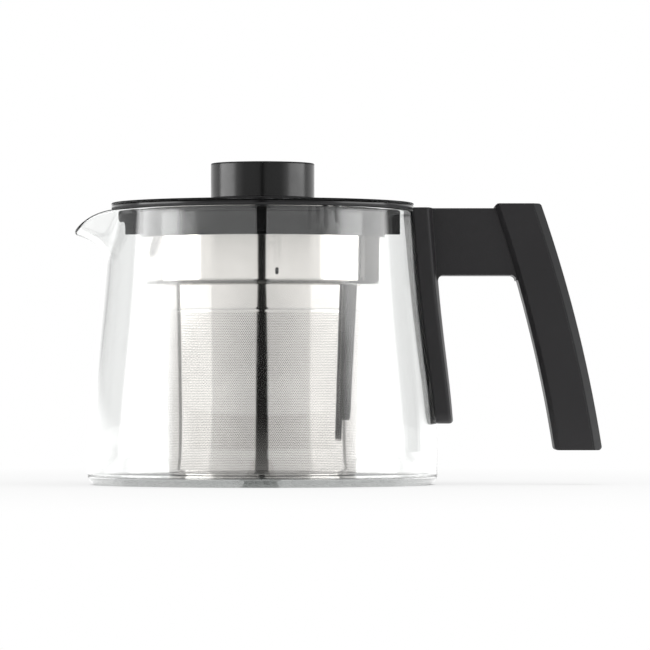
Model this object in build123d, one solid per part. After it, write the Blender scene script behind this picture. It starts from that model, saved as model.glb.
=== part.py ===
from build123d import *
import math
import os

os.makedirs("parts", exist_ok=True)

# Glass teapot of a tea maker, with a lift-out infuser and a lift-off lid.
# Millimetres, +Z up, +X towards the handle, spout towards -X.
# The origin is the centre of the glass underside, which the pot stands on.

# ---- Glass jug ----
jug_height = 118.8
rim_radius = 66.9
shoulder_radius = 69.8
shoulder_height = 80.0
flank_radius = 73.2
flank_height = 50.0
belly_radius = 76.1
belly_height = 11.0
base_corner = 5.0
glass_wall = 2.6
glass_floor = 3.2
inner_corner = 3.0
rim_round = 1.1

# ---- Pouring spout ----
spout_reach = 14.2  # tip beyond the rim
spout_half_width = 16.0
spout_droop = 7.4  # top of the tip below the rim
spout_lip = 3.8  # height of the tip
spout_depth = 22.8  # rim to the foot of the spout
spout_root = 14.0  # how far inside the rim the spout starts
spout_wall = 2.0
spout_shape = [  # height share from foot to lip, reach share, width share
    (0.0, -0.07, 0.35),
    (0.42, 0.12, 0.5),
    (0.7, 0.38, 0.66),
    (0.88, 0.68, 0.82),
    (1.0, 1.0, 1.0),
]

# ---- Handle ----
bond_thickness = 0.8
bond_margin = 1.5  # strap edge to pad edge
strap_thickness = 6.4
strap_top_half_width = 18.5
strap_foot_half_width = 14.5
strap_foot_height = 26.5
strap_foot_round = 5.0
strap_edge = 1.5
arm_top_gap = 0.9  # arm top above the glass rim
arm_height = 29.0
arm_edge = 1.2
arm_corner = 2.2
finger_gap = 33.7  # strap to grip, under the arm
grip_depth = 20.5
grip_half_width = 12.0
grip_foot_height = 15.0
grip_run = 26.5  # how far the grip leans out from top to foot
grip_bow = 2.5
grip_rise = 2.0  # grip top above the arm
grip_inner_chamfer = 2.2
grip_outer_chamfer = 3.2
grip_corner = 1.6
cover_thickness = 4.0

# ---- Grip screws and their threaded inserts ----
screw_radius = 2.0
screw_head_radius = 3.8
screw_head_height = 2.6
screw_land = 6.0  # core wall under the head
screw_bite = 9.0  # screw length inside the arm
screw_spacing = 12.0
screw_clearance = 0.2
insert_wall = 1.0
insert_length = 8.0
fit_gap = 0.05
overrun = 1.0  # how far cutting tools reach past a face

# ---- Infuser ----
lift_gap = 0.3  # between pieces that lift apart
gasket_thickness = 0.8
gasket_width = 3.0
flange_overhang = 1.3  # rim edge beyond the flange edge
flange_thickness = 0.9
skirt_inset = 13.4  # glass rim in to the skirt face
ring_wall = 4.1  # skirt face to lid seat
skirt_wall = 1.55
skirt_drop = 13.0  # flange underside to skirt foot
collar_grip = 6.3  # collar length held inside the skirt
lug_count = 4
lug_reach = 6.2
lug_root = 0.5  # how deep the lug is rooted in the skirt
lug_width = 5.4
lug_height = 11.4
collar_wall = 0.8
collar_drop = 20.9  # skirt foot to the ledge
collar_corner = 1.8
ledge_width = 8.5  # collar face in to the basket
basket_taper = 2.4  # loss of radius from ledge to foot
sheet = 0.6
neck_length = 6.0
basket_floor_height = 0.8  # basket floor above the glass floor
basket_corner = 3.0
sleeve_overlap = 3.0
mark_offset = 6.7
mark_height = 5.4  # ledge to the middle of the drain slot
mark_length = 3.0
mark_width = 1.4

# ---- Lid ----
lid_edge_thickness = 1.0
lid_dome = 0.9
dome_margin = 1.0  # flat ring round the knob's foot
spigot_length = 9.6
spigot_wall = 1.8
spigot_clearance = 0.8
seal_height = 2.6
seal_depth = 1.0
liner_thickness = 1.0
liner_height = 3.0
knob_radius = 22.5
knob_height = 15.1
knob_wall = 2.2
knob_top = 2.6
knob_edge = 0.6
knob_base_overhang = 0.9
knob_base_thickness = 1.3
knob_base_step = 1.8
boss_radius = 5.6
knob_screw_length = 13.0
knob_insert_length = 8.0
washer_radius = 6.5
washer_thickness = 1.0

# ---- Levels and radii that follow from the sizes above ----
arm_top = jug_height + arm_top_gap
arm_foot = arm_top - arm_height
grip_top = arm_top + grip_rise
arm_half_width = grip_half_width - grip_inner_chamfer
strap_reach = bond_thickness + strap_thickness
insert_radius = screw_radius + insert_wall
hole_radius = screw_radius + screw_clearance
gasket_foot = jug_height + lift_gap
flange_foot = gasket_foot + gasket_thickness
flange_top = flange_foot + flange_thickness
flange_radius = rim_radius - flange_overhang
skirt_foot = flange_foot - skirt_drop
skirt_radius = rim_radius - skirt_inset
lid_seat_radius = skirt_radius - ring_wall
collar_radius = skirt_radius - skirt_wall - fit_gap
basket_radius = collar_radius - ledge_width
collar_top = skirt_foot + collar_grip
ledge_level = skirt_foot - collar_drop
basket_foot = glass_floor + basket_floor_height
basket_bend_top = basket_foot + basket_corner
plate_foot = flange_top + lift_gap
plate_rim_top = plate_foot + lid_edge_thickness
plate_top = plate_rim_top + lid_dome
spigot_radius = lid_seat_radius - spigot_clearance
spigot_foot = plate_foot - spigot_length
seal_foot = spigot_foot + (spigot_length - seal_height) / 2
knob_base_radius = knob_radius + knob_base_overhang
knob_foot = plate_top + knob_base_thickness
knob_summit = knob_foot + knob_height
knob_seat = knob_foot + knob_base_step
rim_level = jug_height - rim_round
high = 2 * jug_height  # above everything, for cutting tools


def wall_curve(offset):
    """Side line of the jug wall, moved outwards by offset, from the belly to the rim."""
    points = [
        (belly_radius + offset, belly_height),
        (flank_radius + offset, flank_height),
        (shoulder_radius + offset, shoulder_height),
        (rim_radius + offset, rim_level),
    ]
    rim_lean = (rim_radius - shoulder_radius) / (rim_level - shoulder_height)
    return Spline(*points, tangents=[(0, 1), (rim_lean, 1)])


def wall_radius(height):
    """Outer radius of the jug wall at a height on its curved part."""
    curve = wall_curve(0)
    low, top = 0.0, 1.0
    for _ in range(40):
        middle = (low + top) / 2
        if (curve @ middle).Y < height:
            low = middle
        else:
            top = middle
    return (curve @ low).X


def turned(outline):
    """Solid of revolution about Z from a closed outline in the XZ plane."""
    return revolve(Plane.XZ * make_face(outline), Axis.Z)


def wall_form(offset, foot):
    """Everything within the jug wall moved outwards by offset, and on above the rim."""
    curve = wall_curve(offset)
    belly, rim = curve @ 0, curve @ 1
    edge = Polyline((rim.X, rim.Y), (rim.X, high), (0, high), (0, foot), (belly.X, foot), (belly.X, belly.Y))
    return turned(curve + edge)


def ring(outer, inner, foot, top):
    """Plain ring, or a disc where inner is 0."""
    body = Pos(0, 0, foot) * Cylinder(outer, top - foot, align=(Align.CENTER, Align.CENTER, Align.MIN))
    if inner > 0:
        body -= Pos(0, 0, foot) * Cylinder(inner, top - foot, align=(Align.CENTER, Align.CENTER, Align.MIN))
    return body


def beam(radius, start, length):
    """Round bar along +X from a start point."""
    bar = Cylinder(radius, length, align=(Align.CENTER, Align.CENTER, Align.MIN))
    return Pos(*start) * Rot(0, 90, 0) * bar


# ---- Glass jug ----
def jug_form(offset, foot, corner_radius, rim_turn):
    """Body of revolution inside the wall line moved by offset, with a rounded foot corner.

    At the rim the line turns by rim_turn: inwards to close a body, outwards to flare a hollow.
    """
    curve = wall_curve(offset)
    rim = curve @ 1
    radius = belly_radius + offset
    bend_start = (radius - corner_radius, foot)
    bend_end = (radius, foot + corner_radius)
    turn_end = (rim.X + rim_turn, jug_height)
    closing = [turn_end, (0, jug_height), (0, foot)]
    if rim_turn > 0:
        closing = [turn_end, (turn_end[0], high), (0, high), (0, foot)]
    outline = Line((0, foot), bend_start) + RadiusArc(bend_start, bend_end, -corner_radius)
    outline += Line(bend_end, (radius, belly_height)) + curve
    outline += RadiusArc(rim, turn_end, rim_turn) + Polyline(*closing)
    return turned(outline)


def spout_form(inset):
    """Beak of the spout, lofted through flat ovals: it leaves the wall slowly and flares at the lip."""
    foot_level = jug_height - spout_depth
    lip_level = jug_height - spout_droop - spout_lip
    start = rim_radius - spout_root
    levels = [(foot_level + up * (lip_level - foot_level), out, wide) for up, out, wide in spout_shape]
    levels.append((jug_height, *spout_shape[-1][1:]))
    ovals = []
    for level, out, wide in levels:
        reach = wall_radius(min(level, rim_level)) + out * spout_reach
        oval = Ellipse(reach - start - inset, wide * spout_half_width - inset)
        ovals.append(Pos(-start, 0, level + inset) * oval)
    return loft(ovals)


def lip_cutter():
    """Slanted block that trims the top of the spout down to its tip."""
    start = rim_radius - rim_round
    end = rim_radius + 2 * spout_reach
    slope = spout_droop / spout_reach
    outline = Polyline(
        (-start, jug_height),
        (-start, high),
        (-end, high),
        (-end, jug_height - slope * (end - rim_radius)),
        (-rim_radius, jug_height),
        close=True,
    )
    return extrude(Plane.XZ * make_face(outline), 2 * spout_half_width, both=True)


def glass_jug():
    outside = jug_form(0, 0, base_corner, -rim_round) + spout_form(0)
    inside = jug_form(-glass_wall, glass_floor, inner_corner, rim_round) + spout_form(spout_wall)
    return outside - inside - lip_cutter()


# ---- Handle ----
def strap_outline(margin):
    """Face of the strap seen from the handle side, tapering down to a rounded foot."""
    top = strap_top_half_width - margin
    foot = strap_foot_half_width - margin
    level = strap_foot_height + margin
    high_level = arm_top - margin
    corners = Polyline((-top, high_level), (top, high_level), (foot, level), (-foot, level), close=True)
    face = make_face(corners)
    return fillet(face.vertices().sort_by(Axis.Y)[:2], strap_foot_round)


def strap_block(margin, inner, outer):
    """Part of the jug wall's offset shell that the strap outline covers."""
    prism = extrude(Plane.YZ * strap_outline(margin), 2 * belly_radius)
    return prism & (wall_form(outer, 0) - wall_form(inner, 0))


def edge_shift(height):
    """How far the grip's inner side line stands out at a height, from its top."""
    along = (grip_top - height) / (grip_top - grip_foot_height)
    return along * grip_run + 4 * grip_bow * along * (1 - along)


def edge_x(height):
    """X of the grip's inner side line at a height."""
    strap_face = wall_radius(arm_foot) + strap_reach
    return strap_face + finger_gap - edge_shift(arm_foot) + edge_shift(height)


def grip_edge(shift):
    """Ends of the grip's inner side line, moved outwards by shift."""
    return (edge_x(grip_top) + shift, grip_top), (edge_x(grip_foot_height) + shift, grip_foot_height)


def grip_profile(start, end):
    """Side face of the grip between two distances from its inner line."""
    top, foot = grip_edge(start)
    far_top, far_foot = grip_edge(end)
    near = SagittaArc(top, foot, grip_bow)
    far = SagittaArc(far_foot, far_top, -grip_bow)
    return make_face(near + Line(foot, far_foot) + far + Line(far_top, top))


def grip_bar():
    """Whole grip before it is split: a bowed bar with chamfered long edges and rounded corners."""
    side = grip_profile(0, grip_depth)
    bar = extrude(Plane.XZ * side, grip_half_width, both=True)
    long_edge = (grip_top - grip_foot_height) / 2
    for place, size in ((0, grip_inner_chamfer), (-1, grip_outer_chamfer)):
        for sign in (1, -1):
            flank = bar.faces().sort_by(Axis.Y)[-1 if sign > 0 else 0]
            rows = [e for e in flank.edges() if e.length > long_edge]
            rows.sort(key=lambda e: e.center().X)
            bar = chamfer(rows[place], size)
    return bar & extrude(Plane.XZ * fillet(side.vertices(), grip_corner), grip_half_width, both=True)


def screw_levels():
    """Heights of the two grip screws, about the middle of the arm."""
    middle = (arm_foot + arm_top) / 2
    return [middle - screw_spacing / 2, middle + screw_spacing / 2]


def corner_web(x, side):
    """Rounded inner corner under the arm, against an upright face at x."""
    block = Pos(x, arm_foot - arm_corner / 2) * Rectangle(2 * arm_corner, arm_corner)
    return block - Pos(x + side * arm_corner, arm_foot - arm_corner) * Circle(arm_corner)


def handle_strap():
    """Strap along the glass with its two long outer edges rounded."""
    strap = strap_block(0, bond_thickness, strap_reach)
    outer = []
    for edge in strap.edges():
        middle = edge @ 0.5
        if math.hypot(middle.X, middle.Y) > wall_radius(middle.Z) + strap_reach - fit_gap:
            outer.append(edge)
    outer.sort(key=lambda e: e.length)
    return fillet(outer[-2:], strap_edge)


def handle_arm():
    """Arm from the strap to the grip, with rounded inner corners and top edges."""
    grip_face = edge_x(arm_foot)
    length = grip_face + grip_depth - rim_radius
    face = Pos(rim_radius + length / 2, (arm_top + arm_foot) / 2) * Rectangle(length, arm_height)
    face += corner_web(wall_radius(arm_foot) + strap_reach, 1) + corner_web(grip_face, -1)
    arm = extrude(Plane.XZ * face, arm_half_width, both=True)
    arm = fillet(arm.edges().filter_by(Axis.X).group_by(Axis.Z)[-1], arm_edge)
    arm -= wall_form(bond_thickness, 0)
    return arm - extrude(Plane.XZ * grip_profile(0, 2 * grip_depth), 2 * grip_half_width, both=True)


def handle_bracket():
    bracket = handle_strap() + handle_arm()
    for level in screw_levels():
        start = (edge_x(level) - screw_bite - overrun, 0, level)
        bracket -= beam(insert_radius + fit_gap, start, screw_bite + 2 * overrun)
    return bracket


def grip_parts():
    """Core of the grip with its screw holes, and the cover along its back."""
    bar = grip_bar()
    behind = grip_profile(grip_depth - cover_thickness, 2 * grip_depth)
    back = extrude(Plane.XZ * behind, 2 * grip_half_width, both=True)
    core = bar - back
    cover = bar & back
    for level in screw_levels():
        face = edge_x(level)
        core -= beam(hole_radius, (face - overrun, 0, level), grip_depth)
        core -= beam(screw_head_radius + screw_clearance, (face + screw_land, 0, level), grip_depth)
    return core, cover


def grip_screws():
    """Two pan head screws from the grip core into the arm."""
    screws = []
    for level in screw_levels():
        face = edge_x(level)
        shank = beam(screw_radius - fit_gap, (face - screw_bite, 0, level), screw_bite + screw_land)
        head = beam(screw_head_radius, (face + screw_land, 0, level), screw_head_height)
        screws.append(shank + head)
    return Compound(children=screws)


def grip_inserts():
    """Two brass sleeves moulded into the end of the arm."""
    sleeves = []
    for level in screw_levels():
        start = (edge_x(level) - screw_bite, 0, level)
        sleeves.append(beam(insert_radius, start, insert_length) - beam(screw_radius, start, insert_length))
    return Compound(children=sleeves)


# ---- Infuser ----
def sleeve_radius(level):
    """Outer radius of the basket sleeve, which tapers towards its foot."""
    share = (ledge_level - level) / (ledge_level - basket_bend_top)
    return basket_radius - share * basket_taper


def infuser_ring():
    """Black carrier: flange on the rim, lid seat, skirt and lugs."""
    outline = Polyline(
        (lid_seat_radius, flange_top),
        (flange_radius, flange_top),
        (flange_radius, flange_foot),
        (skirt_radius, flange_foot),
        (skirt_radius, skirt_foot),
        (skirt_radius - skirt_wall, skirt_foot),
        (skirt_radius - skirt_wall, collar_top + fit_gap),
        (lid_seat_radius, collar_top + fit_gap),
        close=True,
    )
    carrier = turned(outline)
    lug_length = lug_reach + lug_root
    lug_centre = skirt_radius - lug_root + lug_length / 2
    lug = Pos(lug_centre, 0, flange_foot - lug_height / 2) * Box(lug_length, lug_width, lug_height)
    for index in range(lug_count):
        carrier += Rot(0, 0, 360 * index / lug_count) * lug
    return carrier


def infuser_collar():
    """Drawn steel collar with a ledge and a short neck, and one small drain slot."""
    inside = collar_radius - collar_wall
    floor_top = ledge_level + collar_wall
    neck_foot = ledge_level - neck_length
    neck_radius = sleeve_radius(neck_foot) - sheet
    neck_inside = neck_radius - collar_wall
    outline = Polyline(
        (collar_radius, ledge_level + collar_corner),
        (collar_radius, collar_top),
        (inside, collar_top),
        (inside, floor_top),
        (neck_inside, floor_top),
        (neck_inside, neck_foot),
        (neck_radius, neck_foot),
        (neck_radius, ledge_level),
        (collar_radius - collar_corner, ledge_level),
    )
    bend_start = (collar_radius - collar_corner, ledge_level)
    bend_end = (collar_radius, ledge_level + collar_corner)
    shell = turned(outline + RadiusArc(bend_start, bend_end, -collar_corner))
    slot = Pos(mark_offset, ledge_level + mark_height) * SlotOverall(mark_length, mark_width, rotation=90)
    return shell - extrude(Plane.XZ * slot, collar_radius + overrun)


def basket_sleeve():
    foot = basket_bend_top
    top = ledge_level
    outline = Polyline(
        (sleeve_radius(foot), foot),
        (sleeve_radius(top), top),
        (sleeve_radius(top) - sheet, top),
        (sleeve_radius(foot) - sheet, foot),
        close=True,
    )
    return turned(outline)


def basket_base():
    """Dished basket floor whose rim stands inside the foot of the sleeve."""
    bend_top = basket_bend_top
    radius = sleeve_radius(bend_top) - sheet
    inner = radius - sheet
    rim_top = bend_top + sleeve_overlap
    foot = Line((0, basket_foot), (radius - basket_corner, basket_foot))
    bend = RadiusArc((radius - basket_corner, basket_foot), (radius, bend_top), -basket_corner)
    wall = Polyline((radius, bend_top), (radius, rim_top), (inner, rim_top), (inner, bend_top))
    small = basket_corner - sheet
    inner_bend = RadiusArc((inner, bend_top), (inner - small, basket_foot + sheet), small)
    floor_line = Polyline((inner - small, basket_foot + sheet), (0, basket_foot + sheet), (0, basket_foot))
    return turned(foot + bend + wall + inner_bend + floor_line)


# ---- Lid ----
def lid_plate():
    """Thin black disc, slightly raised towards the knob."""
    outline = Polyline(
        (hole_radius, plate_foot),
        (flange_radius, plate_foot),
        (flange_radius, plate_rim_top - lid_edge_thickness / 2),
        (flange_radius - lid_edge_thickness / 2, plate_rim_top),
        (knob_base_radius + dome_margin, plate_top),
        (hole_radius, plate_top),
        close=True,
    )
    return turned(outline)


def lid_spigot():
    groove_top = seal_foot + seal_height
    spigot = ring(spigot_radius, spigot_radius - spigot_wall, spigot_foot, plate_foot)
    return spigot - ring(spigot_radius + overrun, spigot_radius - seal_depth, seal_foot, groove_top)


def lid_seal():
    return ring(lid_seat_radius - lift_gap, spigot_radius - seal_depth, seal_foot, seal_foot + seal_height)


def lid_liner():
    radius = spigot_radius - spigot_wall
    plate = ring(radius, 0, spigot_foot, spigot_foot + liner_thickness)
    return plate + ring(radius, radius - liner_thickness, spigot_foot, spigot_foot + liner_height)


def knob_shell():
    body = ring(knob_radius, 0, knob_foot, knob_summit)
    body = fillet(body.edges().group_by(Axis.Z)[-1], knob_edge)
    hollow = ring(knob_radius - knob_wall, boss_radius, knob_foot, knob_summit - knob_top)
    boss_room = ring(boss_radius, 0, knob_foot, knob_seat)
    pocket = ring(insert_radius + fit_gap, 0, knob_foot, knob_seat + knob_insert_length + overrun)
    return body - hollow - boss_room - pocket


def knob_base():
    foot = ring(knob_base_radius, 0, plate_top, knob_foot)
    step = ring(knob_radius - knob_wall - fit_gap, 0, knob_foot, knob_seat)
    return foot + step - ring(hole_radius, 0, plate_top, knob_seat)


def knob_insert():
    return ring(insert_radius, screw_radius, knob_seat, knob_seat + knob_insert_length)


def knob_washer():
    return ring(washer_radius, hole_radius, plate_foot - washer_thickness, plate_foot)


def knob_screw():
    head_top = plate_foot - washer_thickness
    head = ring(screw_head_radius, 0, head_top - screw_head_height, head_top)
    return head + ring(screw_radius - fit_gap, 0, head_top, head_top + knob_screw_length)


grip_core, grip_back = grip_parts()

nodes = {
    "glass_jug": glass_jug(),
    "bond_pad": strap_block(bond_margin, 0, bond_thickness),
    "handle_bracket": handle_bracket(),
    "grip_core": grip_core,
    "grip_back": grip_back,
    "grip_screws": grip_screws(),
    "grip_inserts": grip_inserts(),
    "rim_gasket": ring(flange_radius, flange_radius - gasket_width, gasket_foot, flange_foot),
    "infuser_ring": infuser_ring(),
    "infuser_collar": infuser_collar(),
    "basket_sleeve": basket_sleeve(),
    "basket_base": basket_base(),
    "lid_plate": lid_plate(),
    "lid_spigot": lid_spigot(),
    "lid_seal": lid_seal(),
    "lid_liner": lid_liner(),
    "knob_base": knob_base(),
    "knob_shell": knob_shell(),
    "knob_insert": knob_insert(),
    "knob_washer": knob_washer(),
    "knob_screw": knob_screw(),
}

for name, solid in nodes.items():
    export_step(solid, f"parts/{name}.step")
    print(name, round(solid.volume, 1))
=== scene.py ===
import bpy
import math
import numpy as np
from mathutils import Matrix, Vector


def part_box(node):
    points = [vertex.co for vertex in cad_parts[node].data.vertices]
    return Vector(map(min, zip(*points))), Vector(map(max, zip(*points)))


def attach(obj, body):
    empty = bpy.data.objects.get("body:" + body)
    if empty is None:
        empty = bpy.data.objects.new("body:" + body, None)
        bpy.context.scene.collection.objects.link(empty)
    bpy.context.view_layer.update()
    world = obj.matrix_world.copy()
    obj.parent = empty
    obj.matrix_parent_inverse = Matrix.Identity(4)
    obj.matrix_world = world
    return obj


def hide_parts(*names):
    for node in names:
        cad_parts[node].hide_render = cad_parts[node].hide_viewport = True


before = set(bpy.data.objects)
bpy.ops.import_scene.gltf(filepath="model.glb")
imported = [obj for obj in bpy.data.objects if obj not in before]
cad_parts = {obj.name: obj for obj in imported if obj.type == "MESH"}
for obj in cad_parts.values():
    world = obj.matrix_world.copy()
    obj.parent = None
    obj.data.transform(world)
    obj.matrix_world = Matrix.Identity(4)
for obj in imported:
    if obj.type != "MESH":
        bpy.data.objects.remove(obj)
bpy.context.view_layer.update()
print("frame loaded:", len(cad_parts), "nodes")

# Glass teapot with a lift-out infuser, metres, pot axis on z, handle towards +x, spout towards -x.


def addPiece(name, vertices, faces, body, replaced, finish):
    # a smooth mesh from arrays that rides on its body, in place of a solid node where one is named
    mesh = bpy.data.meshes.new(name)
    mesh.from_pydata(vertices.tolist(), [], faces)
    mesh.polygons.foreach_set("use_smooth", np.ones(len(mesh.polygons), bool))
    mesh.materials.append(materials[finish])
    mesh.update()
    piece = bpy.data.objects.new(name, mesh)
    bpy.context.scene.collection.objects.link(piece)
    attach(piece, body)
    if replaced:
        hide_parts(replaced)
    print("made", name, len(mesh.polygons), "faces")
    return piece


def rounded(corners, radii, steps=6, hold=0.0003):
    # closed line of (radius, height) points: each corner becomes a tangent arc, with a point
    # held just before and after it so that the flats stay flat in the shading
    corners = np.array(corners, float)
    line = []
    for corner, before, after, size in zip(corners, np.roll(corners, 1, 0), np.roll(corners, -1, 0), radii):
        toBefore = (before - corner) / np.linalg.norm(before - corner)
        toAfter = (after - corner) / np.linalg.norm(after - corner)
        half = math.acos(np.clip(toBefore @ toAfter, -1, 1)) / 2
        if size <= 0 or half < 0.01:
            line.append(corner[None])
            continue
        cut = size / math.tan(half)
        middle = (toBefore + toAfter) / np.linalg.norm(toBefore + toAfter)
        centre = corner + middle * size / math.sin(half)
        start, end = corner + toBefore * cut - centre, corner + toAfter * cut - centre
        swing = math.atan2(start[0] * end[1] - start[1] * end[0], start @ end)
        turn = np.linspace(0, swing, steps + 1)[:, None]
        arc = centre + start * np.cos(turn) + np.array([-start[1], start[0]]) * np.sin(turn)
        line += [(corner + toBefore * (cut + hold))[None], arc, (corner + toAfter * (cut + hold))[None]]
    return np.concatenate(line)


def turnedPiece(name, profile, body, replaced, finish, angles, bend=None):
    # Surface of revolution: point (i, j) = (radius_i cos angle_j, radius_i sin angle_j, height_i) for a
    # line of (radius, height) that runs anticlockwise. The line is closed, or open from axis to axis,
    # and then its two ends are single points with a fan of triangles round them.
    closed = profile[0, 0] > 1e-6
    inner = profile if closed else profile[1:-1]
    radius, height = inner[:, :1], inner[:, 1:]
    grid = np.stack([radius * np.cos(angles), radius * np.sin(angles), height + 0 * angles], -1)
    if bend is not None:
        grid = bend(inner, angles, grid)
    rows, columns = len(inner), len(angles)
    vertices = grid.reshape(-1, 3)
    i, j = np.meshgrid(np.arange(rows if closed else rows - 1), np.arange(columns), indexing="ij")
    row = np.stack([i, i, i + 1, i + 1], -1).reshape(-1, 4) % rows
    column = np.stack([j, j + 1, j + 1, j], -1).reshape(-1, 4) % columns
    faces = (row * columns + column).tolist()
    if not closed:
        ends = [[0, 0, profile[0, 1]], [0, 0, profile[-1, 1]]]
        vertices = np.concatenate([vertices, ends])
        ring = np.arange(columns)
        following = (ring + 1) % columns
        lastRow = (rows - 1) * columns
        first = np.stack([np.full(columns, rows * columns), following, ring], -1)
        last = np.stack([np.full(columns, rows * columns + 1), lastRow + ring, lastRow + following], -1)
        faces += first.tolist() + last.tolist()
    return addPiece(name, vertices, faces, body, replaced, finish)


def evenTurn(columns):
    return np.linspace(0, 2 * np.pi, columns, endpoint=False)


def quarter(radius, height, size, steps=14):
    # quarter circle from straight below its centre to its outermost point
    turn = np.linspace(0, np.pi / 2, steps)[:, None]
    return np.array([radius - size, height + size]) + size * np.concatenate([np.sin(turn), -np.cos(turn)], 1)


def feed(tree, socket, source):
    # give a socket its value, or link it to the socket that is its source
    if isinstance(source, (int, float, tuple)):
        socket.default_value = source
    elif source is not None:
        tree.links.new(source, socket)


def addNode(tree, kind, *sources, **settings):
    # a node with its properties set and its inputs fed in order
    node = tree.nodes.new(kind)
    for key, value in settings.items():
        setattr(node, key, value)
    for socket, source in enumerate(sources):
        feed(tree, node.inputs[socket], source)
    return node


def math2(tree, operation, first, second=None, third=None):
    return addNode(tree, "ShaderNodeMath", first, second, third, operation=operation).outputs[0]


def vector2(tree, operation, first, second=None):
    node = addNode(tree, "ShaderNodeVectorMath", first, second, operation=operation)
    return node.outputs["Value" if operation in ("LENGTH", "DOT_PRODUCT") else "Vector"]


def ramp(tree, value, low, high, toLow=0.0, toHigh=1.0):
    # smooth step from one level to another
    limits = (low, high, toLow, toHigh)
    node = addNode(tree, "ShaderNodeMapRange", value, *limits, interpolation_type="SMOOTHSTEP")
    return node.outputs["Result"]


def window(tree, value, low, high, soft, softEnd=None):
    # 1 between low and high with soft ends
    softEnd = softEnd or soft
    rising = ramp(tree, value, low - soft, low + soft)
    falling = ramp(tree, value, high - softEnd, high + softEnd, 1.0, 0.0)
    return math2(tree, "MULTIPLY", rising, falling)


def mixLevel(tree, share, first, second):
    return addNode(tree, "ShaderNodeMix", share, None, first, second).outputs[0]


def mixColour(tree, share, first, second):
    node = addNode(tree, "ShaderNodeMix", share, data_type="RGBA")
    feed(tree, node.inputs[6], first)
    feed(tree, node.inputs[7], second)
    return node.outputs[2]


def noise(tree, coordinates, scale=1.0, detail=2.0, roughness=0.5):
    node = addNode(tree, "ShaderNodeTexNoise", coordinates)
    for label, value in (("Scale", scale), ("Detail", detail), ("Roughness", roughness)):
        node.inputs[label].default_value = value
    return node.outputs["Fac"]


def newGroup(name, inputs, outputs):
    # empty shader group: inputs with their values, outputs by kind
    group = bpy.data.node_groups.new(name, "ShaderNodeTree")
    for label, value in inputs.items():
        kind = "NodeSocketVector" if value is None else "NodeSocketFloat"
        socket = group.interface.new_socket(name=label, in_out="INPUT", socket_type=kind)
        if value is not None:
            socket.default_value = value
    for label in outputs:
        group.interface.new_socket(name=label, in_out="OUTPUT", socket_type="NodeSocketFloat")
    return group, group.nodes.new("NodeGroupInput"), group.nodes.new("NodeGroupOutput")


def useGroup(tree, group, coordinates, **sources):
    # a node of this group with its coordinates linked and its other inputs fed by name; returns its outputs
    node = tree.nodes.new("ShaderNodeGroup")
    node.node_tree = group
    tree.links.new(coordinates, node.inputs[0])
    for key, source in sources.items():
        feed(tree, node.inputs[key], source)
    return node.outputs


def scaledPoint(group, given, factor):
    # the group's point times another of its inputs
    node = addNode(group, "ShaderNodeVectorMath", given.outputs["Point"], operation="SCALE")
    group.links.new(given.outputs[factor], node.inputs["Scale"])
    return node.outputs[0]


def mouldGroup():
    # spark-eroded mould skin: fine pits over a slow drift
    inputs = {"Point": None, "pitScale": 900.0, "driftScale": 25.0}
    group, given, result = newGroup("mouldSkin", inputs, ["Height", "Drift"])
    pits = noise(group, scaledPoint(group, given, "pitScale"), detail=3.0, roughness=0.6)
    group.links.new(pits, result.inputs["Height"])
    group.links.new(noise(group, scaledPoint(group, given, "driftScale")), result.inputs["Drift"])
    return group


def touchGroup():
    # faint handling marks: soft smudges where a slow noise runs high
    smudgeFrom, smudgeFull = 0.48, 0.72
    group, given, result = newGroup("handlingMarks", {"Point": None, "size": 30.0}, ["Smudge"])
    cloud = noise(group, scaledPoint(group, given, "size"), detail=4.0, roughness=0.6)
    group.links.new(ramp(group, cloud, smudgeFrom, smudgeFull), result.inputs["Smudge"])
    return group


def grindGroup():
    # fine lines left by grinding round the axis: noise pressed flat in height, and the same much taller
    # as a drift of the tone
    driftShare = 0.03
    inputs = {"Point": None, "around": 140.0, "along": 5200.0}
    group, given, result = newGroup("turnedGrind", inputs, ["Height", "Drift"])
    split = addNode(group, "ShaderNodeSeparateXYZ", given.outputs["Point"])
    across = [math2(group, "MULTIPLY", split.outputs[axis], given.outputs["around"]) for axis in (0, 1)]
    height = math2(group, "MULTIPLY", split.outputs[2], given.outputs["along"])
    slow = math2(group, "MULTIPLY", height, driftShare)
    for label, level in (("Height", height), ("Drift", slow)):
        place = addNode(group, "ShaderNodeCombineXYZ", across[0], across[1], level).outputs[0]
        group.links.new(noise(group, place), result.inputs[label])
    return group


def holeGroup():
    # hexagonal field of round holes in cells one pitch wide: of two lattices half a cell apart,
    # the nearer centre gives the distance that makes the hole and the pressed rim round it
    inputs = {"Cell": None, "radius": 0.28, "rimWidth": 0.12}
    group, given, result = newGroup("holeField", inputs, ["Hole", "Rim"])
    split = addNode(group, "ShaderNodeSeparateXYZ", given.outputs["Cell"])
    rowHeight = 3 ** 0.5
    distances = []
    for shift in (0.0, 0.5):
        column = math2(group, "FRACT", math2(group, "ADD", split.outputs[0], shift))
        column = math2(group, "SUBTRACT", column, 0.5)
        line = math2(group, "MULTIPLY_ADD", split.outputs[1], 1 / rowHeight, shift)
        line = math2(group, "MULTIPLY", math2(group, "SUBTRACT", math2(group, "FRACT", line), 0.5), rowHeight)
        square = math2(group, "MULTIPLY_ADD", line, line, math2(group, "MULTIPLY", column, column))
        distances.append(math2(group, "SQRT", square))
    nearest = math2(group, "MINIMUM", distances[0], distances[1])
    group.links.new(math2(group, "LESS_THAN", nearest, given.outputs["radius"]), result.inputs["Hole"])
    outer = math2(group, "ADD", given.outputs["radius"], given.outputs["rimWidth"])
    rim = addNode(group, "ShaderNodeMapRange", nearest, given.outputs["radius"], outer, 1.0, 0.0)
    group.links.new(rim.outputs[0], result.inputs["Rim"])
    return group


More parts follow.
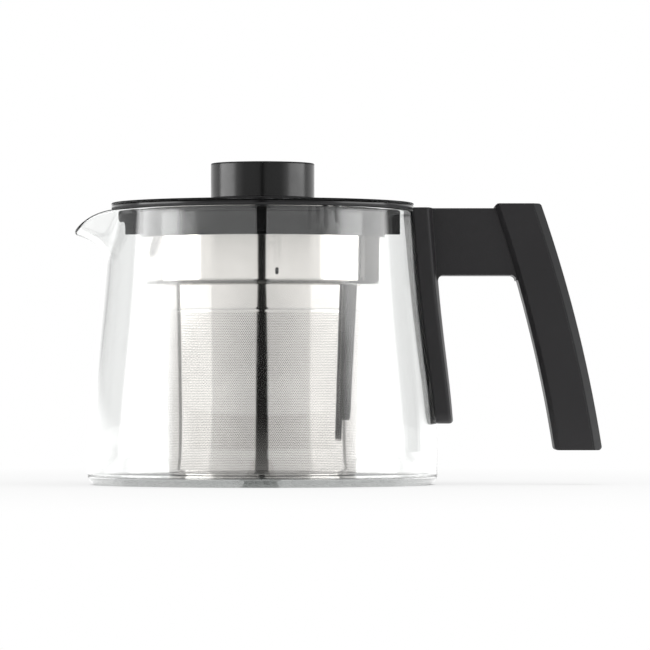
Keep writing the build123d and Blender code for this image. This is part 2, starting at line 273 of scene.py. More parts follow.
groups = {"mould": mouldGroup(), "touch": touchGroup(), "grind": grindGroup(), "holes": holeGroup()}
print("shader groups:", ", ".join(groups))


def startMaterial(name, **plain):
    # a Principled material with its plain sockets set; returns it with its tree and shader
    material = bpy.data.materials.new(name)
    material.use_nodes = True
    tree = material.node_tree
    shader = tree.nodes["Principled BSDF"]
    for key, value in plain.items():
        shader.inputs[key].default_value = value
    return material, tree, shader


def pointOf(tree):
    return tree.nodes.new("ShaderNodeTexCoord").outputs["Object"]


def addBump(tree, shader, height, distance, base=None):
    node = addNode(tree, "ShaderNodeBump", 1.0, distance)
    feed(tree, node.inputs["Height"], height)
    feed(tree, node.inputs["Normal"], base)
    tree.links.new(node.outputs["Normal"], shader.inputs["Normal"])


def blackPlastic(name, look):
    # moulded black: eroded skin, softened edges that polish a little and are painted lighter, partly rubbed
    # wear and partly a painted edge highlight, and handling marks
    material, tree, shader = startMaterial(name, **{"Specular IOR Level": look["specular"]})
    point = pointOf(tree)
    skin = useGroup(tree, groups["mould"], point, pitScale=look["pitScale"])
    marks = useGroup(tree, groups["touch"], point, size=look["markSize"])
    soft = addNode(tree, "ShaderNodeBevel", look["edgeRadius"], samples=6)
    flat = tree.nodes.new("ShaderNodeNewGeometry").outputs["Normal"]
    same = vector2(tree, "DOT_PRODUCT", soft.outputs[0], flat)
    edge = ramp(tree, same, look["edgeFrom"], look["edgeFull"])
    tone = mixColour(tree, skin["Drift"], look["dark"], look["pale"])
    # edges lighter: rubbed wear together with a painted edge highlight
    edgeWearAndSheen = mixColour(tree, math2(tree, "MULTIPLY", edge, look["wearAndSheenShare"]), tone, look["edgeWearAndSheen"])
    tree.links.new(edgeWearAndSheen, shader.inputs["Base Color"])
    swing = look["roughSwing"]
    rough = math2(tree, "MULTIPLY_ADD", skin["Drift"], swing, look["roughness"] - swing / 2)
    rough = math2(tree, "MULTIPLY_ADD", marks["Smudge"], look["smudge"], rough)
    rough = math2(tree, "SUBTRACT", rough, math2(tree, "MULTIPLY", edge, look["polish"]))
    tree.links.new(rough, shader.inputs["Roughness"])
    addBump(tree, shader, skin["Height"], look["pitDepth"], soft.outputs[0])
    return material


satinLook = {
    "dark": (0.014, 0.0135, 0.0145, 1), "pale": (0.020, 0.019, 0.0205, 1), "edgeWearAndSheen": (0.045, 0.045, 0.047, 1),
    "wearAndSheenShare": 0.3, "specular": 0.4, "roughness": 0.45, "roughSwing": 0.1, "pitScale": 1400.0,
    "pitDepth": 0.00004, "markSize": 26.0, "smudge": 0.05, "edgeRadius": 0.0005, "edgeFrom": 0.995,
    "edgeFull": 0.9, "polish": 0.05,
}
coverLook = dict(satinLook, roughness=0.36, dark=(0.016, 0.016, 0.017, 1), pale=(0.023, 0.023, 0.024, 1))
glossLook = dict(
    satinLook, dark=(0.0055, 0.0055, 0.0058, 1), pale=(0.009, 0.009, 0.0095, 1), edgeWearAndSheen=(0.03, 0.03, 0.031, 1),
    wearAndSheenShare=0.4, specular=0.45, roughness=0.14, pitScale=500.0, pitDepth=0.000006, markSize=45.0,
    edgeRadius=0.0003,
)
knobFinish = dict(
    glossLook, dark=(0.002, 0.002, 0.0021, 1), pale=(0.0036, 0.0036, 0.0038, 1), specular=0.52,
    roughness=0.19,
)


def steelMaterial(name, look):
    # ground sheet: lines round the axis and handling marks, holes where it is perforated, painted shade in
    # the holes, round their rims and along the bead, and a band of painted shade where one is given
    material, tree, shader = startMaterial(name, Metallic=1.0, Anisotropic=look["anisotropy"])
    point = pointOf(tree)
    lines = useGroup(tree, groups["grind"], point, around=look["around"], along=look["along"])
    marks = useGroup(tree, groups["touch"], point, size=look["markSize"])
    tone = mixColour(tree, lines["Drift"], look["dark"], look["pale"])
    rough = math2(tree, "MULTIPLY_ADD", lines["Height"], look["roughSwing"], look["roughness"])
    rough = math2(tree, "MULTIPLY_ADD", marks["Smudge"], look["smudge"], rough)
    height = lines["Height"]
    if "holes" in look:
        cell, field, line = look["holes"](tree, point)
        holes = useGroup(tree, groups["holes"], cell, radius=look["holeRadius"])
        # painted shade: the pressed rim round each hole and the bead line above the holes are darkened
        rim = math2(tree, "MULTIPLY", holes["Rim"], field)
        dark = math2(tree, "MULTIPLY", rim, look["rimShadeShare"])
        dark = math2(tree, "MULTIPLY_ADD", line, look["beadShadeShare"], dark)
        tone = mixColour(tree, dark, tone, look["rim"])
        height = math2(tree, "MULTIPLY_ADD", rim, -look["rimDepth"], height)
        height = math2(tree, "MULTIPLY_ADD", line, -look["lineDent"], height)
        # each hole is painted dark, as the shade inside the basket seen through it, and is left partly open
        inHole = math2(tree, "MULTIPLY", holes["Hole"], field)
        tone = mixColour(tree, inHole, tone, look["holeShade"])
        tree.links.new(math2(tree, "MULTIPLY_ADD", inHole, -look["open"], 1.0), shader.inputs["Alpha"])
    # a band of painted shade at a given height, darkest at its middle: the shade under a ledge or round a
    # foot
    if "shadeLineHeight" in look:
        split = addNode(tree, "ShaderNodeSeparateXYZ", point)
        off = math2(tree, "ABSOLUTE", math2(tree, "SUBTRACT", split.outputs[2], look["shadeLineHeight"]))
        share = ramp(tree, off, look["cornerHalf"], 0.0, 0.0, look["shadeLineStrength"])
        tone = mixColour(tree, share, tone, look["corner"])
    tree.links.new(tone, shader.inputs["Base Color"])
    tree.links.new(rough, shader.inputs["Roughness"])
    addBump(tree, shader, height, look["lineDepth"])
    return material


def wallCells(look):
    # cells that run round the wall a whole number of times, between two heights, and the bead above them
    def build(tree, point):
        split = addNode(tree, "ShaderNodeSeparateXYZ", point)
        turn = math2(tree, "ARCTAN2", split.outputs[1], split.outputs[0])
        around = math2(tree, "MULTIPLY", turn, look["count"] / (2 * math.pi))
        upwards = math2(tree, "DIVIDE", split.outputs[2], look["pitch"])
        cell = addNode(tree, "ShaderNodeCombineXYZ", around, upwards).outputs[0]
        high = math2(tree, "GREATER_THAN", split.outputs[2], look["low"])
        low = math2(tree, "LESS_THAN", split.outputs[2], look["high"])
        off = math2(tree, "ABSOLUTE", math2(tree, "SUBTRACT", split.outputs[2], look["high"] + look["bead"]))
        return cell, math2(tree, "MULTIPLY", high, low), ramp(tree, off, look["bead"], 0.0)
    return build


def floorCells(look):
    # cells in the plane of the floor, inside a radius, and a bead round them
    def build(tree, point):
        flat = vector2(tree, "MULTIPLY", point, (1.0, 1.0, 0.0))
        cell = vector2(tree, "DIVIDE", flat, (look["pitch"], look["pitch"], 1.0))
        far = vector2(tree, "LENGTH", flat)
        off = math2(tree, "ABSOLUTE", math2(tree, "SUBTRACT", far, look["reach"] + look["bead"]))
        return cell, math2(tree, "LESS_THAN", far, look["reach"]), ramp(tree, off, look["bead"], 0.0)
    return build


polishedLook = {
    "dark": (0.68, 0.655, 0.63, 1), "pale": (0.75, 0.725, 0.70, 1), "anisotropy": 0.2, "around": 120.0,
    "along": 5200.0, "roughness": 0.04, "roughSwing": 0.04, "markSize": 35.0, "smudge": 0.03,
    # the corner band is painted shade, a dark line round the collar where the shade under its ledge falls
    "lineDepth": 0.0000006, "shadeLineHeight": 0.0869, "cornerHalf": 0.0018, "shadeLineStrength": 0.85,
    "corner": (0.12, 0.117, 0.11, 1),
}
sheetLook = {
    "dark": (0.66, 0.635, 0.615, 1), "pale": (0.74, 0.715, 0.69, 1), "anisotropy": 0.1, "around": 90.0,
    "along": 2600.0, "roughness": 0.045, "roughSwing": 0.03, "markSize": 35.0, "smudge": 0.03,
    # the hole, rim and line tones are painted shade: in the holes, round their edges and along the bead
    "lineDepth": 0.0000012, "holeRadius": 0.24, "holeShade": (0.07, 0.067, 0.064, 1), "open": 0.35,
    "rim": (0.36, 0.35, 0.345, 1), "rimShadeShare": 0.15, "rimDepth": 1.0, "beadShadeShare": 0.5, "lineDent": 20.0,
}


def glassMaterial(look):
    # clear blown glass: slow waves in the wall, a trace of marks, and a dark line of painted shade in the
    # inner corner of the floor; lamps shine through it
    material, tree, shader = startMaterial("clearGlass", IOR=look["ior"], **{"Transmission Weight": 1.0})
    point = pointOf(tree)
    waves = noise(tree, vector2(tree, "MULTIPLY", point, look["waveStretch"]), look["waveScale"], detail=1.0)
    marks = useGroup(tree, groups["touch"], point, size=look["markSize"])
    tone = mixColour(tree, waves, look["tint"], look["clean"])
    # a ring of painted shade round the inner corner of the floor, dark in the glass's own colour
    flat = vector2(tree, "LENGTH", vector2(tree, "MULTIPLY", point, (1.0, 1.0, 0.0)))
    height = addNode(tree, "ShaderNodeSeparateXYZ", point).outputs[2]
    sideways = math2(tree, "SUBTRACT", flat, look["shadeRingRadius"])
    upwards = math2(tree, "SUBTRACT", height, look["shadeLineHeight"])
    off = addNode(tree, "ShaderNodeCombineXYZ", sideways, upwards).outputs[0]
    ring = ramp(tree, vector2(tree, "LENGTH", off), look["cornerHalf"], 0.0, 0.0, look["shadeRingShare"])
    tree.links.new(mixColour(tree, ring, tone, look["corner"]), shader.inputs["Base Color"])
    tree.links.new(math2(tree, "MULTIPLY", marks["Smudge"], look["smudge"]), shader.inputs["Roughness"])
    addBump(tree, shader, waves, look["waveDepth"])
    through = addNode(tree, "ShaderNodeBsdfTransparent", look["shadowTint"])
    shadow = tree.nodes.new("ShaderNodeLightPath").outputs["Is Shadow Ray"]
    mixed = addNode(tree, "ShaderNodeMixShader", shadow, shader.outputs[0], through.outputs[0])
    tree.links.new(mixed.outputs[0], tree.nodes["Material Output"].inputs["Surface"])
    depth = addNode(tree, "ShaderNodeVolumeAbsorption", look["depthTint"], look["density"])
    tree.links.new(depth.outputs[0], tree.nodes["Material Output"].inputs["Volume"])
    return material


# its smudges stay so faint that the glass still mirrors sharply
glassLook = {
    "ior": 1.47, "tint": (0.985, 0.992, 0.986, 1), "clean": (0.992, 0.996, 0.993, 1),
    "waveStretch": (1.0, 1.0, 0.35), "waveScale": 42.0, "waveDepth": 0.00006, "markSize": 20.0,
    "smudge": 0.0035, "shadowTint": (0.93, 0.94, 0.935, 1), "depthTint": (0.2, 0.22, 0.2, 1), "density": 7.0,
    "corner": (0.06, 0.062, 0.06, 1), "shadeRingRadius": 0.0731, "shadeLineHeight": 0.0038, "cornerHalf": 0.0013,
    "shadeRingShare": 0.9,
}


def rubberMaterial(name, look):
    # silicone: matt, slightly cloudy, with a fine skin
    material, tree, shader = startMaterial(name, IOR=look["ior"])
    scales = {key: look[key] for key in ("pitScale", "driftScale")}
    skin = useGroup(tree, groups["mould"], pointOf(tree), **scales)
    tree.links.new(mixColour(tree, skin["Drift"], look["dark"], look["pale"]), shader.inputs["Base Color"])
    rough = math2(tree, "MULTIPLY_ADD", skin["Drift"], look["roughSwing"], look["roughness"])
    tree.links.new(rough, shader.inputs["Roughness"])
    addBump(tree, shader, skin["Height"], look["pitDepth"])
    return material


siliconeLook = {
    "dark": (0.02, 0.02, 0.021, 1), "pale": (0.032, 0.032, 0.033, 1), "roughness": 0.5, "roughSwing": 0.1,
    "ior": 1.41, "pitScale": 700.0, "driftScale": 120.0, "pitDepth": 0.00002,
}
greyLook = dict(siliconeLook, dark=(0.3, 0.3, 0.31, 1), pale=(0.38, 0.38, 0.39, 1))
bondLook = dict(siliconeLook, dark=(0.03, 0.03, 0.031, 1), pale=(0.05, 0.05, 0.051, 1), roughness=0.4)


def smallMetal(name, look):
    # machined screw steel or brass with its turning lines
    material, tree, shader = startMaterial(name, Metallic=1.0)
    point = vector2(tree, "MULTIPLY", pointOf(tree), look["stretch"])
    skin = useGroup(tree, groups["mould"], point, pitScale=look["lineScale"])
    tree.links.new(mixColour(tree, skin["Height"], look["dark"], look["pale"]), shader.inputs["Base Color"])
    rough = math2(tree, "MULTIPLY_ADD", skin["Drift"], look["roughSwing"], look["roughness"])
    tree.links.new(rough, shader.inputs["Roughness"])
    addBump(tree, shader, skin["Height"], look["lineDepth"])
    return material


screwLook = {
    "dark": (0.5, 0.5, 0.51, 1), "pale": (0.66, 0.66, 0.67, 1), "roughness": 0.25, "roughSwing": 0.15,
    "stretch": (1.0, 0.2, 1.0), "lineScale": 2500.0, "lineDepth": 0.00001,
}
brassLook = dict(screwLook, dark=(0.62, 0.45, 0.2, 1), pale=(0.78, 0.6, 0.3, 1), roughness=0.22)


materials = {
    "glass": glassMaterial(glassLook),
    "satin": blackPlastic("satinBlack", satinLook),
    "cover": blackPlastic("coverBlack", coverLook),
    "gloss": blackPlastic("glossBlack", glossLook),
    "knob": blackPlastic("knobBlack", knobFinish),
    "polished": steelMaterial("polishedSteel", polishedLook),
    "blackSilicone": rubberMaterial("blackSilicone", siliconeLook),
    "greySilicone": rubberMaterial("greySilicone", greyLook),
    "bond": rubberMaterial("bondSilicone", bondLook),
    "screw": smallMetal("screwSteel", screwLook),
    "brass": smallMetal("insertBrass", brassLook),
}
print("materials:", len(materials))

# solid nodes that keep their shape and get their finish
nodeFinish = {
    "bond_pad": "bond", "handle_bracket": "satin", "grip_core": "satin", "grip_back": "cover",
    "grip_screws": "screw", "grip_inserts": "brass", "rim_gasket": "blackSilicone",
    "infuser_ring": "gloss", "infuser_collar": "polished", "lid_spigot": "satin",
    "lid_seal": "greySilicone", "lid_liner": "satin", "knob_base": "satin", "knob_insert": "brass",
    "knob_washer": "greySilicone", "knob_screw": "screw",
}
for node, finish in nodeFinish.items():
    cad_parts[node].material_slots[0].material = materials[finish]
print("finished nodes:", len(nodeFinish))

jugLook = {
    "shoulderRadius": 0.0698, "shoulderHeight": 0.080, "flankRadius": 0.0732, "flankHeight": 0.050,
    "bellyHeight": 0.011, "rimRadius": 0.0669, "rimLevel": 0.1177, "baseCorner": 0.005, "innerCorner": 0.0009,
    "wall": 0.0026, "floor": 0.0034, "columns": 288, "crowding": 0.62, "wallRows": 72, "rimRows": 13,
    "floorRows": 24, "spoutHeight": 0.0216, "spoutLean": 1.40, "spoutEase": 0.0085, "spoutAngle": 0.60,
    "footWidth": 0.60, "spoutPeak": 1.4, "spoutSteps": 300,
}


def wallLine(look, bellyRadius):
    # outer radius by height: the quintic through four heights, upright at the belly and with the
    # rim's own lean at the top
    span = look["rimLevel"] - look["bellyHeight"]
    heights = [look["bellyHeight"], look["flankHeight"], look["shoulderHeight"], look["rimLevel"]]
    radii = [bellyRadius, look["flankRadius"], look["shoulderRadius"], look["rimRadius"]]
    lean = (look["rimRadius"] - look["shoulderRadius"]) / (look["rimLevel"] - look["shoulderHeight"])
    share = (np.array(heights) - look["bellyHeight"]) / span
    powers = np.arange(6)
    rows = [share[:, None] ** powers, [[0, 1, 0, 0, 0, 0]], [powers]]
    factors = np.linalg.solve(np.concatenate(rows), np.array(radii + [0, lean * span]))
    return lambda height: ((height - look["bellyHeight"]) / span)[..., None] ** powers @ factors


def spoutBend(look, radiusAt):
    # Above the spout's foot the wall line leans out like a bent strip. At run h from the foot it leans by
    # spoutLean (1 - exp(-h / spoutEase)) b, where b is a raised cosine, to the power spoutPeak, of the angle
    # from the spout that widens with h. Summing the lean's sine and cosine gives its reach and its rise.
    def bend(profile, angles, grid):
        middle = radiusAt(np.minimum(profile[:, 1], look["rimLevel"])) - look["wall"] / 2
        foot = profile[:, 1].max() - look["spoutHeight"]
        run = np.linspace(0, look["spoutHeight"], look["spoutSteps"])
        width = look["spoutAngle"] * (look["footWidth"] + (1 - look["footWidth"]) * run / run[-1])
        off = np.abs(angles % (2 * np.pi) - np.pi)
        bulge = ((1 + np.cos(np.pi * np.clip(off[:, None] / width, 0, 1))) / 2) ** look["spoutPeak"]
        lean = look["spoutLean"] * (1 - np.exp(-run / look["spoutEase"])) * bulge
        step = run[1]
        reach = np.cumsum(np.sin(lean), 1) * step
        rise = np.cumsum(np.cos(lean), 1) * step
        place = np.clip((profile[:, 1] - foot) / step, 0, len(run) - 1)
        low = np.minimum(place.astype(int), len(run) - 2)
        part = place - low
        leanAt, reachAt, riseAt = [
            (table[:, low] * (1 - part) + table[:, low + 1] * part).T for table in (lean, reach, rise)
        ]
        across = (profile[:, 0] - middle)[:, None]
        radius = middle[:, None] + across * np.cos(leanAt)
        moved = np.stack([
            radius * np.cos(angles) - reachAt,
            radius * np.sin(angles),
            foot + riseAt - across * np.sin(leanAt),
        ], -1)
        return np.where((profile[:, 1] > foot)[:, None, None], moved, grid)
    return bend


def makeJug(look):
    low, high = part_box("glass_jug")
    bellyRadius, top = high.x, high.z
    radiusAt = wallLine(look, bellyRadius)
    half = look["wall"] / 2
    heights = np.linspace(look["bellyHeight"], top - half, look["wallRows"])
    outer = np.stack([radiusAt(heights), heights], -1)
    inner = (outer - [look["wall"], 0])[::-1]
    turn = np.linspace(0, np.pi, look["rimRows"])[1:-1, None]
    rim = outer[-1] + [-half, 0] + half * np.concatenate([np.cos(turn), np.sin(turn)], 1)
    outerCorner = quarter(bellyRadius, 0, look["baseCorner"])
    innerCorner = quarter(bellyRadius - look["wall"], look["floor"], look["innerCorner"])[::-1]
    spans = np.linspace(0, 1, look["floorRows"])[:-1, None]
    underside = spans * outerCorner[0]
    inside = np.array([0, look["floor"]]) + spans[::-1] * [innerCorner[-1, 0], 0]
    profile = np.concatenate([underside, outerCorner, outer[1:], rim, inner, innerCorner, inside])
    even = evenTurn(look["columns"])
    angles = np.pi + even - look["crowding"] * np.sin(even)  # columns crowd at the spout
    bend = spoutBend(look, radiusAt)
    turnedPiece("glassJug", profile, "jug", "glass_jug", "glass", angles, bend)


makeJug(jugLook)

sleeveLook = {
    "thickness": 0.0006, "drop": 0.002, "plainBand": 0.0118, "pitch": 0.0008, "edge": 0.0001, "bead": 0.001,
    "columns": 240,
}


def makeSleeve(look):
    # the wall reaches down by drop over the floor's own wall
    low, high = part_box("basket_sleeve")
    thick, start = look["thickness"], low.z - look["drop"]
    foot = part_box("basket_base")[1].x + thick
    corners = [(foot, start), (high.x, high.z), (high.x - thick, high.z), (foot - thick, start)]
    profile = rounded(corners, [look["edge"]] * 4, steps=3, hold=0.0001)
    cells = {
        "count": round(2 * math.pi * foot / look["pitch"]), "pitch": look["pitch"], "bead": look["bead"],
        "low": start, "high": high.z - look["plainBand"],
    }
    materials["sleeve"] = steelMaterial("perforatedSleeve", dict(sheetLook, holes=wallCells(cells)))
    angles = evenTurn(look["columns"])
    turnedPiece("basketSleeve", profile, "infuser", "basket_sleeve", "sleeve", angles)


baseLook = {
    "thickness": 0.0006, "corner": 0.001, "sink": 0.0005, "shade": (0.03, 0.029, 0.028, 1),
    "shadeHalf": 0.0016, "pitch": 0.0008, "margin": 0.0015, "bead": 0.0004, "floorRows": 16, "columns": 240,
}


def makeBase(look):
    low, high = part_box("basket_base")
    radius, thick, corner = high.x, look["thickness"], look["corner"]
    foot = low.z - look["sink"]
    outerCorner = quarter(radius, foot, corner)
    innerCorner = quarter(radius - thick, foot + thick, corner - thick)[::-1]
    spans = np.linspace(0, 1, look["floorRows"])[:-1, None] * [radius - corner, 0]
    rim = [[radius, high.z], [radius - thick, high.z]]
    under, over = spans + [0, foot], spans[::-1] + [0, foot + thick]
    profile = np.concatenate([under, outerCorner, rim, innerCorner, over])
    cells = {"pitch": look["pitch"], "reach": radius - corner - look["margin"], "bead": look["bead"]}
    # the rounded foot gets a band of painted shade, where it stands in its own shadow on the glass floor
    finish = dict(sheetLook, holes=floorCells(cells), shadeLineHeight=foot + corner / 2, shadeLineStrength=1.0)
    finish.update(cornerHalf=look["shadeHalf"], corner=look["shade"])
    materials["base"] = steelMaterial("perforatedFloor", finish)
    angles = evenTurn(look["columns"])
    turnedPiece("basketBase", profile, "infuser", "basket_base", "base", angles)


makeSleeve(sleeveLook)
makeBase(baseLook)

ribLook = {
    "radius": 0.0629, "halfWidth": 0.0009, "depth": 0.0009, "top": 0.1186, "sharpness": 0.35,
    "rows": 25, "columns": 32,
    "ribs": {"ribFront": (25.8, 0.1092), "ribSide": (30.5, 0.1117)},  # degrees from the front, foot
}


def makeRib(name, turn, foot, look):
    # upright rib on the carrier's skirt: a ball squared off by raising its cosines to the power sharpness,
    # with half of its depth inside the skirt
    middle, half = (look["top"] + foot) / 2, (look["top"] - foot) / 2
    facing = math.radians(turn)

    def squared(wave):
        return np.sign(wave) * np.abs(wave) ** look["sharpness"]

    def place(profile, angles, grid):
        across = profile[:, :1] * squared(np.cos(angles)) * look["halfWidth"]
        outwards = profile[:, :1] * squared(np.sin(angles)) * look["depth"]
        azimuth = facing + across / look["radius"]
        radius = look["radius"] + outwards
        up = middle + half * profile[:, 1:] + 0 * angles
        return np.stack([radius * np.sin(azimuth), -radius * np.cos(azimuth), up], -1)

    steps = np.linspace(-np.pi / 2, np.pi / 2, look["rows"])
    ball = np.stack([squared(np.cos(steps)), squared(np.sin(steps))], 1)
    ball[[0, -1], 0] = 0
    angles = evenTurn(look["columns"])
    piece = turnedPiece(name, ball, "infuser", None, "gloss", angles, place)
    for vertex, level in zip(piece.data.vertices[-2:], (foot, look["top"])):
        vertex.co = (look["radius"] * math.sin(facing), -look["radius"] * math.cos(facing), level)
    piece.data.update()


for ribName, (ribTurn, ribFoot) in ribLook["ribs"].items():
    makeRib(ribName, ribTurn, ribFoot, ribLook)

lidLook = {
    "edge": 0.00045, "hole": 0.0022, "flat": 0.001, "rimHeight": 0.001, "domeRound": 0.004, "columns": 240,
}


def makeLid(look):
    low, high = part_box("lid_plate")
    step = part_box("knob_base")[1].x + look["flat"]
    rimTop = low.z + look["rimHeight"]
    hole, edge = look["hole"], look["edge"]
    corners = [(hole, low.z), (high.x, low.z), (high.x, rimTop), (step, high.z), (hole, high.z)]
    profile = rounded(corners, [0, edge, edge, look["domeRound"], 0], steps=8)
    angles = evenTurn(look["columns"])
    turnedPiece("lidPlate", profile, "lid", "lid_plate", "gloss", angles)


knobLook = {
    "wall": 0.0022, "topThickness": 0.0026, "edge": 0.0006, "dish": 0.00015, "boss": 0.0056, "bore": 0.00305,
    "boreDepth": 0.0108, "seat": 0.0018, "small": 0.0002, "topRows": 20, "columns": 192,
}


def makeKnob(look):
    # hollow cylinder with a boss, closed by a top that is dished by dish (1 - s^2)^2 over its radius share s
    low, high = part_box("knob_shell")
    radius, small = high.x, look["small"]
    ceiling = high.z - look["topThickness"]
    bossFoot, boreTop = low.z + look["seat"], low.z + look["boreDepth"]
    flat = radius - 2 * look["edge"]
    share = np.linspace(1, 0, look["topRows"])[:, None]
    top = np.concatenate([share * flat, high.z - look["dish"] * (1 - share ** 2) ** 2], 1)
    corners = [
        (0, boreTop), (look["bore"], boreTop), (look["bore"], bossFoot), (look["boss"], bossFoot),
        (look["boss"], ceiling), (radius - look["wall"], ceiling), (radius - look["wall"], low.z),
        (radius, low.z), (radius, high.z), (0, high.z),
    ]
    sizes = [0, 0, small, small, small, look["edge"], small, small, look["edge"], 0]
    profile = np.concatenate([rounded(corners, sizes, steps=8)[:-1], top])
    angles = evenTurn(look["columns"])
    turnedPiece("knobShell", profile, "lid", "knob_shell", "knob", angles)


makeLid(lidLook)
makeKnob(knobLook)

cameraLook = {
    "place": (0.0271, -2.0, 0.040), "upTilt": 0.01463, "lens": 255.0, "sensor": 36.0, "clipEnd": 60.0,
}


def makeCamera(look):
    data = bpy.data.cameras.new("camera")
    data.lens = look["lens"]
    data.sensor_width = look["sensor"]
    data.clip_end = look["clipEnd"]
    camera = bpy.data.objects.new("camera", data)
    camera.location = look["place"]
    camera.rotation_euler = (math.pi / 2 + look["upTilt"], 0, 0)
    bpy.context.scene.collection.objects.link(camera)
    bpy.context.scene.camera = camera


# Angles in degrees: turn away from the front to either side, and climb above the level. Each soft box
# has the turn where it starts and its brightness, at +1 towards the handle and at -1 towards the spout.
roomLook = {
    "front": 1.18, "rearLow": 1.22, "rearHigh": 0.45, "rearFrom": 2.0, "rearTo": 4.5, "rearSoft": 2.0,
    "boxes": {1: (61.0, 3.1), -1: (64.0, 4.4)}, "boxTo": 107.0, "boxSoft": 6.0, "boxToSoft": 2.5,
    "boxFoot": -30.0, "boxTop": 12.4, "boxTopSoft": 0.8, "lowTop": 5.8,
    "dimFrom": 12.0, "dimTo": 15.0, "highLevel": 0.5,
    "frameFrom": 109.0, "frameTo": 116.0, "frameSoft": 0.8, "frameFull": 0.5, "frameTop": 2.0,
    "frameDark": 0.65, "standHalf": 48.0, "standSoft": 6.0, "standLow": 2.1, "standHigh": 9.0,
    "standEdge": 0.5, "standDark": 0.88,
}


def roomGroup(look):
    # Brightness of the room by direction, as mirrored in steel and glass: two tall soft boxes at the sides,
    # each with a dark frame at its rear, a dim rear, and a dark stand in front. Sharp is 1 for what a smooth
    # surface mirrors. At 0, for a rougher one, the boxes end at lowTop, and the dimming of what is higher
    # starts as much lower.
    group, given, result = newGroup("room", {"Direction": None, "Sharp": 1.0}, ["Level", "Turn"])
    split = addNode(group, "ShaderNodeSeparateXYZ", vector2(group, "NORMALIZE", given.outputs["Direction"]))
    forward = math2(group, "MULTIPLY", split.outputs[1], -1.0)
    turn = math2(group, "DEGREES", math2(group, "ARCTAN2", split.outputs[0], forward))
    side = math2(group, "ABSOLUTE", turn)
    climb = math2(group, "DEGREES", math2(group, "ARCSINE", split.outputs[2]))
    shift = look["boxTop"] - look["lowTop"]
    raised = math2(group, "ADD", climb, math2(group, "MULTIPLY_ADD", given.outputs["Sharp"], -shift, shift))
    boxes = []
    for sign, (start, brightness) in look["boxes"].items():
        facing = math2(group, "MULTIPLY", turn, float(sign))
        wide = window(group, facing, start, look["boxTo"], look["boxSoft"], look["boxToSoft"])
        boxes.append(math2(group, "MULTIPLY", wide, brightness))
    tall = window(group, raised, look["boxFoot"], look["boxTop"], look["boxTopSoft"])
    boxes = math2(group, "MULTIPLY", math2(group, "ADD", *boxes), tall)
    rear = ramp(group, climb, look["rearFrom"], look["rearTo"], look["rearLow"], look["rearHigh"])
    behind = ramp(group, side, look["boxTo"] - look["rearSoft"], look["boxTo"] + look["rearSoft"])
    level = math2(group, "ADD", boxes, mixLevel(group, behind, look["front"], rear))
    dimmed = ramp(group, raised, look["dimFrom"], look["dimTo"], 1.0, look["highLevel"])
    level = math2(group, "MULTIPLY", level, dimmed)
    frames = window(group, side, look["frameFrom"], look["frameTo"], look["frameSoft"])
    frames = math2(group, "MULTIPLY", frames, ramp(group, climb, look["frameTop"], look["frameFull"]))
    edges = (look["standHalf"] - look["standSoft"], look["standHalf"] + look["standSoft"])
    stand = window(group, climb, look["standLow"], look["standHigh"], look["standEdge"])
    stand = math2(group, "MULTIPLY", stand, ramp(group, side, *edges, 1.0, 0.0))
    for mask, darkness in ((frames, look["frameDark"]), (stand, look["standDark"])):
        level = math2(group, "MULTIPLY", level, math2(group, "MULTIPLY_ADD", mask, -darkness, 1.0))
    group.links.new(level, result.inputs["Level"])
    group.links.new(side, result.inputs["Turn"])
    return group


def after(tree, path, kind):
    # 1 once the ray has taken a step of this kind
    return math2(tree, "GREATER_THAN", path.outputs[kind + " Depth"], 0.5)


def strip(tree, turn, half, look):
    # dark upright strip at the very front of the room, to multiply with; half is a number or a socket
    gap = math2(tree, "SUBTRACT", turn, half)
    return ramp(tree, gap, -look["stripSoft"], look["stripSoft"], look["stripLevel"], 1.0)


worldLook = {
    "background": 1.0, "throughGlass": 0.92, "plainLevel": 0.45,
    "stripHalf": 3.6, "stripSoft": 0.4, "stripLevel": 0.02,
}


def makeWorld(look):
    # plain light for matt surfaces, white behind the pot, and the room in reflections
    world = bpy.data.worlds.new("studio")
    bpy.context.scene.world = world
    world.use_nodes = True
    world.cycles.sampling_method = "NONE"
    tree = world.node_tree
    path = tree.nodes.new("ShaderNodeLightPath")
    outwards = tree.nodes.new("ShaderNodeTexCoord").outputs["Generated"]
    room = useGroup(tree, groups["room"], outwards, Sharp=path.outputs["Is Singular Ray"])
    seenRoom = math2(tree, "MULTIPLY", room["Level"], strip(tree, room["Turn"], look["stripHalf"], look))
    shade = look["throughGlass"] - look["background"]
    behind = math2(tree, "MULTIPLY_ADD", after(tree, path, "Transmission"), shade, look["background"])
    level = mixLevel(tree, after(tree, path, "Glossy"), behind, seenRoom)
    level = mixLevel(tree, after(tree, path, "Diffuse"), level, look["plainLevel"])
    tree.links.new(level, tree.nodes["Background"].inputs["Color"])


lampLook = {
    "sideLamp": {
        "places": ((-1.0, -0.25, 0.35), (1.0, -0.25, 0.35)), "aim": (0, 0, 0.06), "size": (0.8, 0.7),
        "watts": 4.0,
    },
    "topLamp": {"places": ((0.1, -0.2, 1.3),), "aim": (0, 0, 0), "size": (1.2, 1.0), "watts": 9.0},
}


def makeLamps(name, look):
    # area lamps that only light matt surfaces; reflections come from the room
    for place in look["places"]:
        data = bpy.data.lights.new(name, "AREA")
        data.shape = "RECTANGLE"
        data.size, data.size_y = look["size"]
        data.energy = look["watts"]
        lamp = bpy.data.objects.new(name, data)
        lamp.location = place
        direction = Vector(look["aim"]) - Vector(place)
        lamp.rotation_euler = direction.to_track_quat("-Z", "Y").to_euler()
        lamp.visible_camera = lamp.visible_glossy = lamp.visible_transmission = False
        bpy.context.scene.collection.objects.link(lamp)


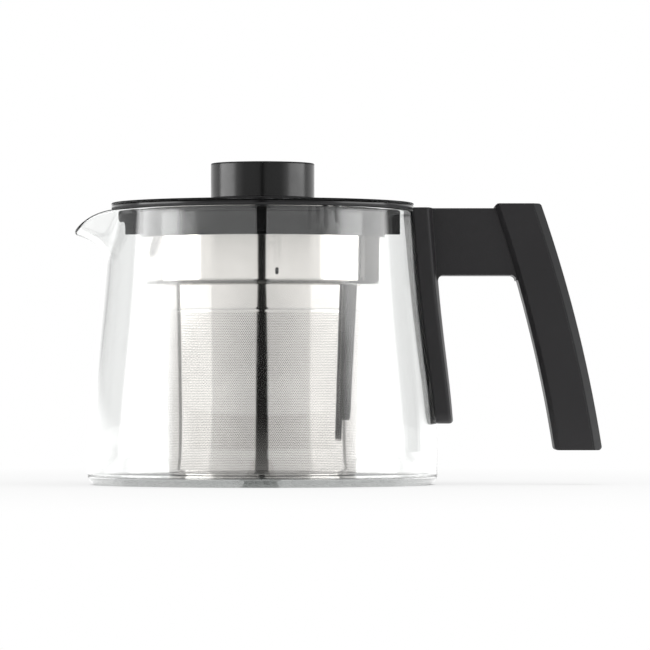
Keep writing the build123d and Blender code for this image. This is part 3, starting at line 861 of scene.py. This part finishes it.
floorLook = {
    "reach": 6.0, "matt": (0.8, 0.8, 0.8, 1), "foot": 0.0725, "footShadeGlow": 0.3, "near": 0.076, "far": 0.5,
    "nearGlow": 0.75, "mirrorNear": 0.76, "mirrorFar": 0.98, "mirrorMost": 1.6, "turnNear": 5.0,
    "turnFar": 60.0, "stripNear": 7.0, "stripFar": 3.6, "stripFrom": 0.35, "stripTo": 3.5, "stripSoft": 0.4,
    "stripLevel": 0.02,
}


def makeFloor(look):
    # matt white near the pot, where its shadow falls, with a painted contact shade under the pot's foot,
    # fading into the white of the background, and the lower part of the room in reflections
    material, tree, shader = startMaterial("floorWhite", Roughness=0.9, **{"Specular IOR Level": 0.0})
    shader.inputs["Base Color"].default_value = look["matt"]
    point = pointOf(tree)
    distance = vector2(tree, "LENGTH", point)
    room = useGroup(tree, groups["room"], point)
    widths = (look["stripFrom"], look["stripTo"], look["stripNear"], look["stripFar"])
    dims = (look["turnNear"], look["turnFar"], look["mirrorNear"], look["mirrorFar"])
    lower = math2(tree, "MULTIPLY", room["Level"], ramp(tree, room["Turn"], *dims))
    lower = math2(tree, "MINIMUM", lower, look["mirrorMost"])
    dark = strip(tree, room["Turn"], ramp(tree, distance, *widths), look)
    seenRoom = math2(tree, "MULTIPLY", lower, dark)
    path = tree.nodes.new("ShaderNodeLightPath")
    glow = tree.nodes.new("ShaderNodeEmission")
    tree.links.new(mixLevel(tree, after(tree, path, "Glossy"), 1.0, seenRoom), glow.inputs["Color"])
    share = ramp(tree, distance, look["near"], look["far"], look["nearGlow"], 1.0)
    # under the pot's foot the floor glows less: a painted contact shade, which the real shadow there deepens
    outside = ramp(tree, distance, look["foot"], look["near"], look["footShadeGlow"], 1.0)
    direct = math2(tree, "SUBTRACT", 1.0, after(tree, path, "Diffuse"))
    share = math2(tree, "MULTIPLY", math2(tree, "MULTIPLY", share, outside), direct)
    mixed = addNode(tree, "ShaderNodeMixShader", share, shader.outputs[0], glow.outputs[0])
    tree.links.new(mixed.outputs[0], tree.nodes["Material Output"].inputs["Surface"])
    material.cycles.emission_sampling = "NONE"
    far = look["reach"]
    mesh = bpy.data.meshes.new("floor")
    corners = [(-far, -far, 0), (far, -far, 0), (far, far, 0), (-far, far, 0)]
    mesh.from_pydata(corners, [], [(0, 1, 2, 3)])
    mesh.materials.append(material)
    sheet = bpy.data.objects.new("floor", mesh)
    bpy.context.scene.collection.objects.link(sheet)


groups["room"] = roomGroup(roomLook)
makeCamera(cameraLook)
makeWorld(worldLook)
for lampName, look in lampLook.items():
    makeLamps(lampName, look)
makeFloor(floorLook)
scene = bpy.context.scene
scene.view_settings.view_transform = "Standard"
scene.cycles.max_bounces = 24
scene.cycles.glossy_bounces = 20
scene.cycles.transmission_bounces = 20
scene.cycles.transparent_max_bounces = 24
print("studio ready")
